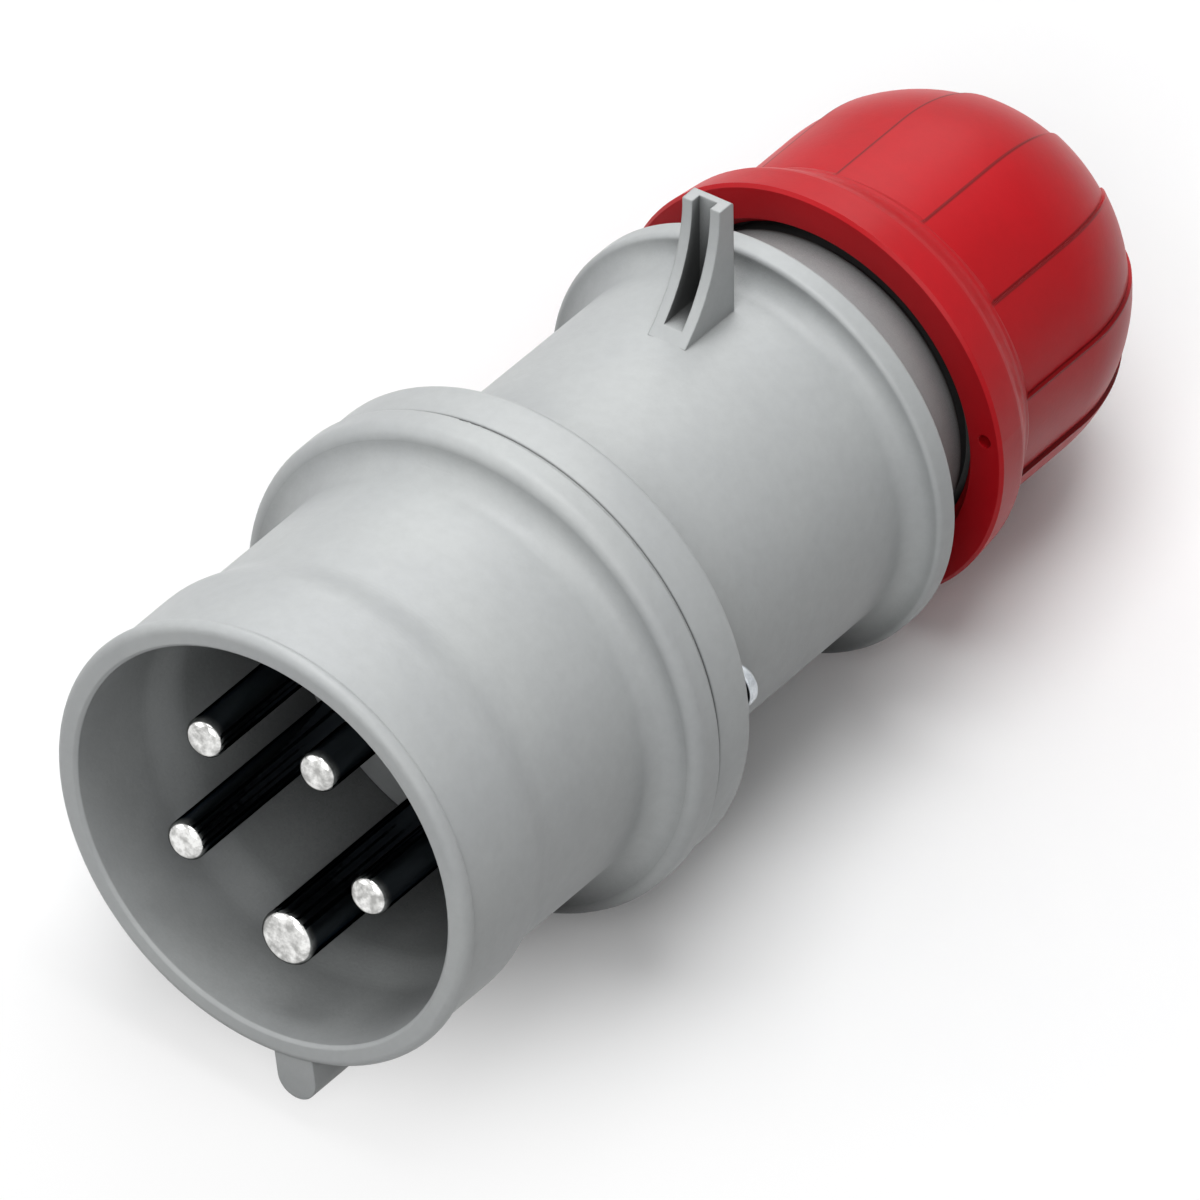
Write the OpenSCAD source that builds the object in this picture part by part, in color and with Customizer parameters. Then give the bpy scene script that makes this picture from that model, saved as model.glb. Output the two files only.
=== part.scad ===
// Industrial pin and sleeve plug, five pole, 16 A size, lying on its side.
// Row frame: +Y runs from the mouth to the cord end, +Z is up, and the
// origin is on the plug's axis in the plane of the mouth.
// Every piece is drawn standing, with its own z as the distance behind the
// mouth, and lay() then puts it down.

/* [Sleeve] */
// Length from the mouth to the joint between front shroud and housing
shroud_len = 44; // [43:0.5:50]
// Depth from the mouth to the face of the contact carrier
floor_depth = 39; // [37:0.5:39]
// Bore of the sleeve at the mouth
mouth_bore_d = 51.4; // [51.4:0.1:52]
// Bore of the sleeve at the carrier
deep_bore_d = 49; // [48.6:0.1:49.4]
// Outside diameter of the bead round the mouth
lip_d = 57.2; // [57:0.2:59]
// Outside diameter of the band behind the bead
band_d = 56; // [55.6:0.1:56.4]
// Distance behind the mouth at which the band ends
band_len = 12.5; // [9:0.5:14]
// Length over which the band eases down to the sleeve
band_ease = 6.5; // [4:0.5:8]
// Outside diameter of the sleeve
sleeve_d = 53.2; // [52.8:0.2:53.6]
// Radius of the bead's section
lip_round = 1.1; // [0.9:0.1:1.3]

/* [Flange] */
// Diameter of the front half of the flange
front_flange_d = 63.4; // [63:0.2:66]
// Thickness of the front half of the flange
front_flange_t = 4.3; // [4:0.1:4.8]
// Radius of the cove in front of the flange
flange_cove_r = 3.4; // [2.6:0.1:3.4]
// Radius of the flange's front edge
flange_edge_r = 1.6; // [0.8:0.1:1.6]
// Diameter of the rear half of the flange
rear_flange_d = 62.3; // [62:0.1:64]
// Thickness of the rear half of the flange
rear_flange_t = 7; // [6:0.5:9]
// Width of the shadow groove at the joint
seam_w = 0.6; // [0.4:0.1:0.9]
// Depth of the shadow groove at the joint
seam_depth = 0.4; // [0.3:0.1:0.6]

/* [Keyway rib] */
// Width of the rib that finds the socket's keyway
key_w = 5.3; // [4.6:0.1:6]
// Distance from the axis to the crest of the rib
key_reach = 34; // [33:0.5:35]
// Set-back of the rib from the mouth
key_setback = 0.5; // [0.3:0.1:3]

/* [Contacts] */
// Diameter of the circle that the contacts stand on
contact_pcd = 27; // [26:0.5:27.5]
// Diameter of the phase and neutral pins
pin_d = 5; // [4.8:0.1:5.2]
// Diameter of the earth pin
earth_d = 7; // [6.6:0.1:7.2]
// Set-back of the pin tips from the mouth
tip_setback = 1.6; // [1:0.1:4]
// Radius at the end of each pin
tip_round = 1.1; // [0.8:0.1:1.4]
// Wall round the conductor hole of each terminal
terminal_wall = 1.6; // [1.4:0.1:1.8]
// Diameter of the conductor hole of a phase or neutral terminal
wire_hole_d = 4.4; // [4:0.1:4.8]
// Length of each terminal behind the retainer
terminal_len = 9.5; // [8:0.5:14]
// Diameter of the terminal screws
terminal_screw_d = 3.2; // [2.9:0.1:3.4]

/* [Carrier] */
// Thickness of the carrier's rear boss
carrier_boss_t = 6; // [5:0.5:9]
// Diameter of the carrier's rear boss
carrier_boss_d = 39.6; // [39:0.2:40.4]
// Thickness of the plate that holds the contacts in
retainer_t = 2.5; // [2:0.1:4]
// Width of the tab that stops the carrier turning
carrier_tab_w = 4; // [3:0.5:6]

/* [Housing] */
// Diameter of the barrel behind the flange
barrel_d = 47.4; // [47:0.1:48]
// Length of the barrel from the flange to the rear rim
barrel_len = 41.3; // [38:0.1:50]
// Loss of diameter along the barrel
barrel_draft = 0.4; // [0:0.1:0.8]
// Thickness of the barrel's wall
wall_t = 2.3; // [2:0.1:2.6]
// Diameter of the rear rim
rim_d = 54.5; // [54:0.1:56]
// Length of the rear rim
rim_len = 3.2; // [2.6:0.1:4]
// Radius of the cove in front of the rear rim
rim_cove_r = 2.9; // [1.5:0.1:2.9]
// Diameter of the threaded neck
neck_d = 41.2; // [40.8:0.1:41.6]
// Length of the neck behind the rim
neck_len = 19.5; // [18:0.5:20]
// Wall of the neck where it holds the cord grip
neck_wall = 2.4; // [2:0.1:2.6]

/* [Fork] */
// Width over both fins
fork_w = 6.2; // [5.4:0.1:8]
// Width of the slot between the fins
fork_slot_w = 2.4; // [1.6:0.1:3]
// Distance from the axis to the top of the fins
fork_reach = 34; // [32:0.5:36]
// Length of the flat on top of the fins
fork_flat = 3; // [2:0.1:4.5]
// Length of the fins in front of that flat
fork_run = 11.5; // [10:0.5:14]
// Thickness of the web that joins the fins at the back
fork_web = 1.4; // [1:0.1:2]

/* [Housing screws] */
// Diameter of the circle that the two screws stand on
screw_pcd = 55.6; // [55.6:0.1:56]
// Diameter of the screw's shank
screw_d = 3.2; // [3:0.1:3.3]
// Diameter of the screw's head
screw_head_d = 5.8; // [5.2:0.1:6]
// Height of the screw's head
screw_head_h = 2.3; // [1.8:0.1:3]

/* [Cap] */
// Gap between the rear rim and the skirt of the cap
cap_gap = 9.5; // [8:0.5:12]
// Diameter of the skirt at its front edge
skirt_d = 53.4; // [52.6:0.2:54]
// Loss of diameter along the skirt
skirt_draft = 0.8; // [0:0.1:1.2]
// Length of the skirt before it eases down
skirt_len = 4.2; // [3:0.1:5]
// Length over which the skirt eases down to the grip
skirt_ease = 5; // [3:0.5:6]
// Bore of the skirt at its front face
skirt_bore_d = 44.6; // [43.6:0.2:45]
// Depth of the skirt's bore
skirt_bore_len = 2; // [1:0.5:3]
// Diameter of the grip, and of the dome that closes it
grip_d = 47.4; // [47:0.2:48]
// Length of the grip before the dome
grip_len = 13; // [12:0.5:16]
// Number of grip panels
panel_count = 12; // [8:1:16]
// Height of the step from one grip panel to the next
panel_step = 0.5; // [0.3:0.05:0.7]
// Length of the dome to the flat at the cord hole
dome_len = 19; // [18:0.5:20]
// Diameter of the cord hole
cord_hole_d = 19; // [16:0.5:20]
// Pitch of the cap's thread
thread_pitch = 3; // [2:0.5:4]
// Whole or part turns that the cap can be screwed in from rest
turns_in = 2; // [1:0.5:2]
// Diameter of the sealing hole in the skirt's front face
seal_hole_d = 1.7; // [1.2:0.1:2]

/* [Cord entry] */
// Bore of the rubber grommet, which is the diameter of the cord
grommet_bore_d = 14; // [10:0.5:15]
// Wall of the grommet's tube
grommet_wall = 3.6; // [3:0.1:4]
// Thickness of the grommet's flange
grommet_flange_t = 2; // [1.5:0.1:2.5]
// Length of the cord grip's ring
grip_ring_len = 6; // [5:0.5:7]
// Length of the cord grip's fingers
finger_len = 13; // [10:0.5:14]
// Number of the cord grip's fingers
finger_count = 8; // [6:2:10]
// Width of the slots between the fingers
finger_slot_w = 2; // [1.5:0.1:2.5]
// Length of the pressure ring
pressure_len = 8; // [6:0.5:8]

/* [Lie] */
// Roll at which the plug comes to rest on its rib and flange
lie_roll = 15; // [0:1:20]

/* [Hidden] */
// Radial clearance of pieces that move past each other
run_gap = 0.3;
// Radial clearance of pieces that are fixed together
seat_gap = 0.1;
// Overlap that keeps joined and cut shapes clean
eps = 0.05;
// Small edge break on moulded and turned edges
edge_break = 0.4;
// Steps along each eased shoulder
ease_steps = 10;
$fn = 96;

// Sleeve and flange, as radii and distances behind the mouth
mouth_r = mouth_bore_d / 2;
deep_r = deep_bore_d / 2;
lip_r = lip_d / 2;
band_r = band_d / 2;
sleeve_r = sleeve_d / 2;
front_r = front_flange_d / 2;
rear_r = rear_flange_d / 2;
front_z = shroud_len - front_flange_t;
seat_wall = 1.1;
carrier_r = deep_r + seat_wall - seat_gap;
seat_r = deep_r + seat_wall;
tab_reach = seat_r + 2;

// Contacts
contact_r = contact_pcd / 2;
CONTACT_TURN = [0, 72, 144, 216, 288];
stem_step = 0.3;
carrier_back = shroud_len + carrier_boss_t;
socket_floor = shroud_len + 1;
retainer_back = carrier_back + retainer_t;
terminal_back = retainer_back + terminal_len;
terminal_screw_z = retainer_back + terminal_len / 2;
terminal_head_h = 1.5;
terminal_head_d = 1.65 * terminal_screw_d;
terminal_shoulder = 0.5;
center_screw_head_h = 1.8;
center_screw_depth = 6;

// Housing
barrel_r = barrel_d / 2;
barrel_end_r = barrel_r - barrel_draft / 2;
flange_back = shroud_len + rear_flange_t;
rim_front = flange_back + barrel_len;
rim_back = rim_front + rim_len;
rim_r = rim_d / 2;
chamber_r = barrel_end_r - wall_t;
chamber_back = rim_back - wall_t;
neck_r = neck_d / 2;
neck_back = rim_back + neck_len;
pocket_r = neck_r - neck_wall;
pocket_front = neck_back - 11;
throat_r = pocket_r - 1.6;

// Housing screws
screw_r = screw_pcd / 2;
screw_skin = 0.5;
SCREW_HOUR = [3, 9];

// Cord entry
seal_r = pocket_r - 2 * seat_gap;
grommet_r = grommet_bore_d / 2 + grommet_wall;
grip_bore_r = grommet_r + seat_gap;
grip_front = pocket_front + grommet_flange_t;
finger_front = grip_front + grip_ring_len;
finger_back = finger_front + finger_len;
finger_root_r = pocket_r - 2.4;
finger_tip_r = grip_bore_r + 1.6;

// Cap
travel_in = thread_pitch * turns_in;
cap_front = rim_back + cap_gap;
thread_front = cap_front + skirt_bore_len;
thread_r = neck_r + run_gap;
thread_back = neck_back + travel_in + run_gap;
ring_r = neck_r - 1.1;
ring_front = thread_back;
ring_back = ring_front + pressure_len;
finger_slope = (finger_root_r - finger_tip_r) / finger_len;
ring_bore_front = finger_root_r - finger_slope * (ring_front - travel_in - finger_front) + run_gap;
ring_bore_back = ring_bore_front - finger_slope * pressure_len;
grip_r = grip_d / 2;
skirt_back = cap_front + skirt_len;
grip_front_z = skirt_back + skirt_ease;
dome_z = grip_front_z + grip_len;
cap_back = dome_z + dome_len;
cord_hole_r = cord_hole_d / 2;
cord_hole_len = 5;

// Grip panels: each is a sector of a body that stands off the axis by
// panel_shift, so that its radius falls by panel_step across the panel
panel_deg = 360 / panel_count;
panel_shift = panel_step / (2 * sin(panel_deg / 2));
panel_r = grip_r - panel_step / 2;
panel_root_r = cord_hole_r - 1;
panel_overlap_deg = 3;

// ---------- placing ----------

// Puts a standing piece down: z becomes +Y, and the roll follows
module lay() {
    rotate([0, -lie_roll, 0]) rotate([-90, 0, 0]) children();
}

// Turns a piece drawn at 3 o'clock to another hour, seen from the mouth
module at_hour(hour) {
    rotate(30 * (hour - 3)) children();
}

// Places a piece drawn at the axis on one of the five contact positions,
// with its own +x pointing away from the plug's axis
module at_contact(index) {
    at_hour(6) rotate(CONTACT_TURN[index]) translate([contact_r, 0, 0]) children();
}

// ---------- outlines ----------

// Corner of a square outside a quarter circle, tangent to both sides.
// It fills an inner corner, or cuts an outer one; turn 0 faces +x and +y.
module corner(at, turn, r) {
    translate(at) rotate(turn) difference() {
        translate([-eps, -eps]) square(r + eps);
        translate([r, r]) circle(r);
    }
}

// Points that ease from one radius to another between two distances
function ease(r0, r1, z0, z1) = [
    for (i = [0:ease_steps])
        let (t = i / ease_steps) [r0 + (r1 - r0) * t * t * (3 - 2 * t), z0 + (z1 - z0) * t]
];

// Ring or disc from z0 to z1
module ring(r_in, r_out, z0, z1) {
    translate([0, 0, z0]) difference() {
        cylinder(r = r_out, h = z1 - z0);
        if (r_in > 0) translate([0, 0, -eps]) cylinder(r = r_in, h = z1 - z0 + 2 * eps);
    }
}

// ---------- front shroud ----------

module shroud_outline() {
    difference() {
        union() {
            polygon(concat(
                [[deep_r, 0], [lip_r - lip_round, 0], [lip_r - lip_round, lip_round],
                 [band_r, lip_round]],
                ease(band_r, sleeve_r, band_len, band_len + band_ease),
                [[sleeve_r, front_z], [front_r, front_z], [front_r, shroud_len],
                 [deep_r, shroud_len]]
            ));
            translate([lip_r - lip_round, lip_round]) circle(lip_round);
            corner([sleeve_r, front_z], -90, flange_cove_r);
        }
        corner([front_r, front_z], 90, flange_edge_r);
        corner([front_r, shroud_len], 180, edge_break);
        polygon(concat(
            [[0, -1], [mouth_r + edge_break, -1], [mouth_r + edge_break, 0],
             [mouth_r, edge_break]],
            ease(mouth_r, deep_r, band_len, band_len + band_ease),
            [[deep_r, floor_depth], [seat_r, floor_depth], [seat_r, shroud_len + 1],
             [0, shroud_len + 1]]
        ));
    }
}

// Round-crested rib along the sleeve at 6 o'clock
module key_rib() {
    at_hour(6) translate([0, 0, key_setback]) linear_extrude(front_z - key_setback + 1) {
        translate([mouth_r + edge_break + eps, -key_w / 2])
            square([key_reach - key_w / 2 - mouth_r - edge_break - eps, key_w]);
        translate([key_reach - key_w / 2, 0]) circle(key_w / 2);
    }
}

module front_shroud() {
    color("#b6b9bb") lay() difference() {
        union() {
            rotate_extrude() shroud_outline();
            key_rib();
        }
        // Slot for the carrier's tab
        at_hour(12) translate([deep_r - 1, -carrier_tab_w / 2 - seat_gap, floor_depth])
            cube([tab_reach + seat_gap - deep_r + 1, carrier_tab_w + 2 * seat_gap, shroud_len]);
        // Pilot holes for the housing screws
        for (hour = SCREW_HOUR)
            at_hour(hour) translate([screw_r, 0, front_z + screw_skin])
                cylinder(d = screw_d + seat_gap, h = shroud_len);
    }
}

// ---------- contact carrier ----------

module pin_carrier() {
    color("#8f9294") lay() difference() {
        union() {
            ring(0, deep_r - seat_gap, floor_depth - eps, floor_depth + 1);
            ring(0, carrier_r, floor_depth, shroud_len);
            ring(0, carrier_boss_d / 2, shroud_len - eps, carrier_back);
            at_hour(12) translate([carrier_r - 2, -carrier_tab_w / 2, floor_depth])
                cube([tab_reach - carrier_r + 2, carrier_tab_w, shroud_len - floor_depth]);
        }
        for (i = [0:4]) at_contact(i) {
            translate([0, 0, floor_depth - 1])
                cylinder(r = stem_r(i) + seat_gap, h = carrier_back);
            translate([0, 0, socket_floor]) cylinder(r = socket_r(i) + seat_gap, h = carrier_back);
        }
        translate([0, 0, carrier_back - center_screw_depth])
            cylinder(d = screw_d + seat_gap, h = carrier_back);
    }
}

// Plate behind the carrier that traps the contacts by their shoulders
module contact_retainer() {
    color("#8f9294") lay() difference() {
        ring(0, carrier_boss_d / 2, carrier_back, retainer_back);
        for (i = [0:4]) at_contact(i) translate([0, 0, carrier_back - 1])
            cylinder(r = terminal_r(i) + seat_gap, h = retainer_t + 2);
        translate([0, 0, carrier_back - 1])
            cylinder(d = screw_d + 2 * seat_gap, h = retainer_t + 2);
    }
}

module retainer_screw() {
    color("#c8cbcf") lay() translate([0, 0, retainer_back])
        slotted_screw(screw_d, screw_head_d, center_screw_head_h,
                      retainer_t + center_screw_depth - 1);
}

// ---------- contacts ----------

function bare_r(i) = (i == 0 ? earth_d : pin_d) / 2;
function stem_r(i) = bare_r(i) + stem_step;
function hole_r(i) = wire_hole_d / 2 + (bare_r(i) - pin_d / 2) / 2;
function terminal_r(i) = hole_r(i) + terminal_wall;
function socket_r(i) = terminal_r(i) + terminal_shoulder;

// Turned pin with a rounded tip, a stem in the carrier and a screw terminal
module contact(i) {
    color("#c8cbcf") lay() at_contact(i) difference() {
        union() {
            rotate_extrude() difference() {
                translate([0, tip_setback]) square([bare_r(i), floor_depth + eps - tip_setback]);
                corner([bare_r(i), tip_setback], 90, tip_round);
            }
            ring(0, stem_r(i), floor_depth, socket_floor + eps);
            ring(0, socket_r(i), socket_floor, carrier_back);
            ring(0, terminal_r(i), carrier_back - eps, terminal_back);
        }
        translate([0, 0, retainer_back - 1]) cylinder(r = hole_r(i), h = terminal_len + 2);
        translate([0, 0, terminal_screw_z]) rotate([0, 90, 0])
            cylinder(d = terminal_screw_d + seat_gap, h = 2 * terminal_r(i));
    }
}

// Clamping screw of one terminal, turned in from outside
module terminal_screw(i) {
    color("#d0d2d5") lay() at_contact(i)
        translate([terminal_r(i) + seat_gap, 0, terminal_screw_z]) rotate([0, 90, 0])
            slotted_screw(terminal_screw_d, terminal_head_d, terminal_head_h, terminal_r(i) - 1);
}

// Screw with its head above z = 0 and its shank below
module slotted_screw(d, head_d, head_h, len) {
    difference() {
        union() {
            rotate_extrude() difference() {
                square([head_d / 2, head_h]);
                corner([head_d / 2, head_h], 180, head_h / 2);
            }
            translate([0, 0, -len]) cylinder(d = d, h = len + eps);
        }
        translate([-head_d, -d / 8, head_h * 0.6]) cube([2 * head_d, d / 4, head_h]);
    }
}

module pin_earth() { contact(0); }
module pin_neutral() { contact(1); }
module pin_line_1() { contact(2); }
module pin_line_2() { contact(3); }
module pin_line_3() { contact(4); }
module terminal_screw_earth() { terminal_screw(0); }
module terminal_screw_neutral() { terminal_screw(1); }
module terminal_screw_line_1() { terminal_screw(2); }
module terminal_screw_line_2() { terminal_screw(3); }
module terminal_screw_line_3() { terminal_screw(4); }

// ---------- housing ----------

module housing_outline() {
    difference() {
        union() {
            polygon([
                [chamber_r, shroud_len], [front_r - seam_depth - edge_break, shroud_len],
                [front_r - seam_depth - edge_break, shroud_len + seam_w],
                [rear_r, shroud_len + seam_w], [rear_r, flange_back], [barrel_r, flange_back],
                [barrel_end_r, rim_front], [rim_r, rim_front], [rim_r, rim_back],
                [neck_r, rim_back], [neck_r, neck_back - 1], [neck_r - 1, neck_back],
                [pocket_r, neck_back], [pocket_r, pocket_front], [throat_r, pocket_front],
                [throat_r, chamber_back], [chamber_r, chamber_back]
            ]);
            corner([barrel_r, flange_back], 0, 1);
            corner([barrel_end_r, rim_front], -90, rim_cove_r);
        }
        corner([rear_r, flange_back], 180, 1.2);
        corner([rim_r, rim_front], 90, 0.6);
        corner([rim_r, rim_back], 180, 0.7);
    }
}

// Two fins with a slot between them, joined by a web at the back.
// Their front edge is an arc that leaves the barrel along its surface.
module fork() {
    rise = fork_reach - barrel_end_r;
    arc_r = (rise * rise + fork_run * fork_run) / (2 * rise);
    top_front = rim_back - fork_flat;
    fork_front = top_front - fork_run;
    at_hour(12) difference() {
        rotate([90, 0, 0]) linear_extrude(fork_w, center = true) difference() {
            translate([barrel_end_r - 1, fork_front])
                square([rise + 1, fork_run + fork_flat]);
            translate([barrel_end_r + arc_r, fork_front]) circle(arc_r);
            corner([fork_reach, rim_back], 180, 0.8);
        }
        translate([barrel_end_r + 0.6, -fork_slot_w / 2, fork_front - 1])
            cube([rise + 1, fork_slot_w, fork_run + fork_flat + 1 - fork_web]);
    }
}

module housing() {
    color("#b6b9bb") lay() difference() {
        union() {
            rotate_extrude() housing_outline();
            fork();
        }
        for (hour = SCREW_HOUR)
            at_hour(hour) translate([screw_r, 0, shroud_len - 1])
                cylinder(d = screw_d + 2 * run_gap, h = rear_flange_t + 2);
    }
}

// Pan-head screw behind the flange
module housing_screw(hour) {
    color("#d0d2d5") lay() at_hour(hour) translate([screw_r, 0, flange_back])
        slotted_screw(screw_d, screw_head_d, screw_head_h,
                      rear_flange_t + front_flange_t - screw_skin - run_gap);
}

module housing_screw_right() { housing_screw(SCREW_HOUR[0]); }
module housing_screw_left() { housing_screw(SCREW_HOUR[1]); }

// ---------- cord entry ----------

module grommet() {
    color("#2b2c2e") lay() difference() {
        union() {
            ring(0, seal_r, pocket_front, grip_front);
            ring(0, grommet_r, grip_front - eps, finger_back - 2);
        }
        translate([0, 0, pocket_front - 1])
            cylinder(d = grommet_bore_d, h = finger_back - pocket_front);
    }
}

// Ring with tapered fingers that close on the cord
module cord_grip() {
    color("#5a5d60") lay() difference() {
        rotate_extrude() polygon([
            [grip_bore_r, grip_front], [seal_r, grip_front], [seal_r, finger_front],
            [finger_root_r, finger_front], [finger_tip_r, finger_back],
            [grip_bore_r, finger_back]
        ]);
        for (k = [0:finger_count / 2 - 1]) rotate(k * 360 / finger_count)
            translate([-pocket_r, -finger_slot_w / 2, finger_front + 1])
                cube([2 * pocket_r, finger_slot_w, finger_len]);
    }
}

// Washer in the cap that slides along the axis and closes the fingers
module pressure_ring() {
    color("#5a5d60") lay() rotate_extrude() polygon([
        [ring_bore_front, ring_front], [ring_r, ring_front], [ring_r, ring_back],
        [ring_bore_back, ring_back]
    ]);
}

// ---------- cap ----------

// Skirt and core of the cap, which the grip panels stand on
module cap_core_outline() {
    polygon(concat(
        [[0, cap_front], [skirt_d / 2 - edge_break, cap_front],
         [skirt_d / 2, cap_front + edge_break]],
        ease((skirt_d - skirt_draft) / 2, grip_r + eps, skirt_back, grip_front_z),
        [[grip_r - 2 * panel_step, grip_front_z + 2], [grip_r - 2 * panel_step, dome_z],
         [0, dome_z]]
    ));
}

// Cylinder with a half-round end
module grip_outline() {
    translate([0, grip_front_z - 2]) square([panel_r, dome_z - grip_front_z + 2]);
    intersection() {
        translate([0, dome_z]) circle(panel_r);
        translate([0, dome_z - eps]) square(panel_r + 1);
    }
}

// One grip panel: the sector of an off-centre body that starts at 3 o'clock.
// Its low end runs on a little inside the next panel, which stands higher.
module grip_panel() {
    reach = 2 * grip_r;
    end_deg = panel_deg + panel_overlap_deg;
    intersection() {
        rotate(panel_deg / 2 - 90) translate([panel_shift, 0, 0])
            rotate_extrude() grip_outline();
        translate([0, 0, grip_front_z - 1]) linear_extrude(grip_len + reach)
            polygon([
                [panel_root_r, 0], [reach, 0], [reach * cos(end_deg), reach * sin(end_deg)],
                [panel_root_r * cos(end_deg), panel_root_r * sin(end_deg)]
            ]);
    }
}

module cap_cavity_outline() {
    polygon([
        [0, cap_front - 1], [skirt_bore_d / 2, cap_front - 1], [skirt_bore_d / 2, thread_front],
        [thread_r, thread_front], [thread_r, thread_back], [ring_r + run_gap, thread_back],
        [ring_r + run_gap, ring_back + seat_gap], [ring_bore_back, ring_back + seat_gap],
        [cord_hole_r, cap_back - cord_hole_len], [cord_hole_r, cap_back + 1], [0, cap_back + 1]
    ]);
}

module cap() {
    color("#b5191f") lay() difference() {
        union() {
            rotate_extrude() cap_core_outline();
            for (k = [0:panel_count - 1]) rotate(k * panel_deg) grip_panel();
        }
        rotate_extrude() cap_cavity_outline();
        // Flat at the cord hole
        translate([-grip_r, -grip_r, cap_back]) cube([grip_d, grip_d, grip_r]);
        at_hour(3) translate([(skirt_d + skirt_bore_d) / 4, 0, cap_front - 1])
            cylinder(d = seal_hole_d, h = skirt_bore_len + 1);
    }
}

front_shroud();
pin_carrier();
contact_retainer();
retainer_screw();
pin_earth();
pin_neutral();
pin_line_1();
pin_line_2();
pin_line_3();
terminal_screw_earth();
terminal_screw_neutral();
terminal_screw_line_1();
terminal_screw_line_2();
terminal_screw_line_3();
housing();
housing_screw_right();
housing_screw_left();
grommet();
cord_grip();
pressure_ring();
cap();
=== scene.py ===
"""Industrial pin and sleeve plug: finishes, small detail pieces and the studio.

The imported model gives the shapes. This script dresses them, adds the forms that are too
small for the solids, and builds the floor, the lamps and the camera round them.
"""

import logging
import math
from collections.abc import Sequence
from dataclasses import dataclass
from enum import Enum

import bmesh
import bpy
from mathutils import Matrix, Vector

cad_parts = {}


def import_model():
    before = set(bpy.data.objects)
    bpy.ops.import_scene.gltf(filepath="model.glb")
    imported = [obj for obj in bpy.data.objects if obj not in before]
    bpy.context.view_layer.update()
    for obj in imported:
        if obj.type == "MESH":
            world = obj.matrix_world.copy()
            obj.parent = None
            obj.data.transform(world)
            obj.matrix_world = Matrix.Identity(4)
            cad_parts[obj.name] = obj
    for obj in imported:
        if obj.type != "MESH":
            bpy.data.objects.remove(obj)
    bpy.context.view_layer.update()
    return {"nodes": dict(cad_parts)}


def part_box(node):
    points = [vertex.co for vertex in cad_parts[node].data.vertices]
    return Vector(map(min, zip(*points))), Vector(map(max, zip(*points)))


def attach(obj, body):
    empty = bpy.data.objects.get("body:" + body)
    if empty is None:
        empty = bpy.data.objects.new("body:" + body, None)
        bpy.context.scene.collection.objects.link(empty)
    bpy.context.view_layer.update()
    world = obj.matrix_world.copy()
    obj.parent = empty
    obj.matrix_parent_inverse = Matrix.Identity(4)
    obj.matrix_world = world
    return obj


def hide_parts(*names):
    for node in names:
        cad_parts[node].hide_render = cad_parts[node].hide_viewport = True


LOG = logging.getLogger("plug")
MM = 0.001
# An outline that is spun stays this far off the axis, in millimetres.
NEAR_AXIS = 0.02
# How far a cutting solid stands past what it cuts, in millimetres.
SPARE = 1.0
# One unit of Blender's wave texture turns its wave by this many radians.
WAVE_RADIANS = 20.0


# ---------------------------------------------------------------------------- helpers


def linear(hex_colour: str) -> tuple[float, float, float, float]:
    """Turns an sRGB hex colour to the linear values that the shaders take.

    Args:
        hex_colour: Six hex digits after a hash sign.

    Returns:
        Red, green, blue and an alpha of one.
    """
    parts = [int(hex_colour[i : i + 2], 16) / 255 for i in (1, 3, 5)]
    r, g, b = (p / 12.92 if p <= 0.04045 else ((p + 0.055) / 1.055) ** 2.4 for p in parts)
    return (r, g, b, 1.0)


def add_node(
    tree: bpy.types.NodeTree,
    kind: str,
    settings: dict[str, object] | None = None,
    inputs: dict[str | int, object] | None = None,
) -> bpy.types.Node:
    """Adds one node with its settings and what its inputs get.

    Args:
        tree: The material's or the world's node tree.
        kind: The node's Blender type.
        settings: The node's own properties.
        inputs: An output socket to link, or a value to set, for each input.

    Returns:
        The new node.
    """
    node = tree.nodes.new(kind)
    for name, value in (settings or {}).items():
        setattr(node, name, value)
    for name, value in (inputs or {}).items():
        if isinstance(value, bpy.types.NodeSocket):
            tree.links.new(value, node.inputs[name])
        else:
            node.inputs[name].default_value = value
    return node


def seen_by_eye(tree: bpy.types.NodeTree) -> bpy.types.NodeSocket:
    """Tells what is seen straight, in a mirror or through glass from what only lights.

    Args:
        tree: The material's or the world's node tree.

    Returns:
        An output that is one for camera, glossy and transmission rays.
    """
    path = add_node(tree, "ShaderNodeLightPath")
    first = add_node(tree, "ShaderNodeMath", {"operation": "MAXIMUM"}, {
        0: path.outputs["Is Camera Ray"], 1: path.outputs["Is Glossy Ray"]})
    both = add_node(tree, "ShaderNodeMath", {"operation": "MAXIMUM"}, {
        0: first.outputs[0], 1: path.outputs["Is Transmission Ray"]})
    return both.outputs[0]


def hollow_shade(
    tree: bpy.types.NodeTree, deepest: float, reach_mm: float = 24.0,
    closed: float = 0.2, wide_open: float = 0.85,
) -> bpy.types.NodeSocket:
    """Tells how open a spot is, for the painted shade that darkens a finish's colour inside a hollow.

    Args:
        tree: The material's node tree.
        deepest: What the closest hollow gets; an open face gets one.
        reach_mm: How far a neighbouring wall still counts.
        closed: Open share of the sky at which a spot is as dark as it gets.
        wide_open: Open share of the sky from which a spot counts as open.

    Returns:
        An output between deepest and one.
    """
    # Painted shade: ambient occlusion darkens the colour in hollows, creases and between parts.
    open_sky = add_node(tree, "ShaderNodeAmbientOcclusion", {"samples": 8}, {
        "Distance": reach_mm * MM})
    return add_node(tree, "ShaderNodeMapRange", {"interpolation_type": "SMOOTHSTEP"}, {
        "Value": open_sky.outputs["AO"], "From Min": closed, "From Max": wide_open,
        "To Min": deepest, "To Max": 1.0}).outputs["Result"]


def cells_per_metre(size_mm: float) -> float:
    """Returns the texture scale at which one cell of a pattern measures size_mm."""
    return 1.0 / (size_mm * MM)


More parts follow.
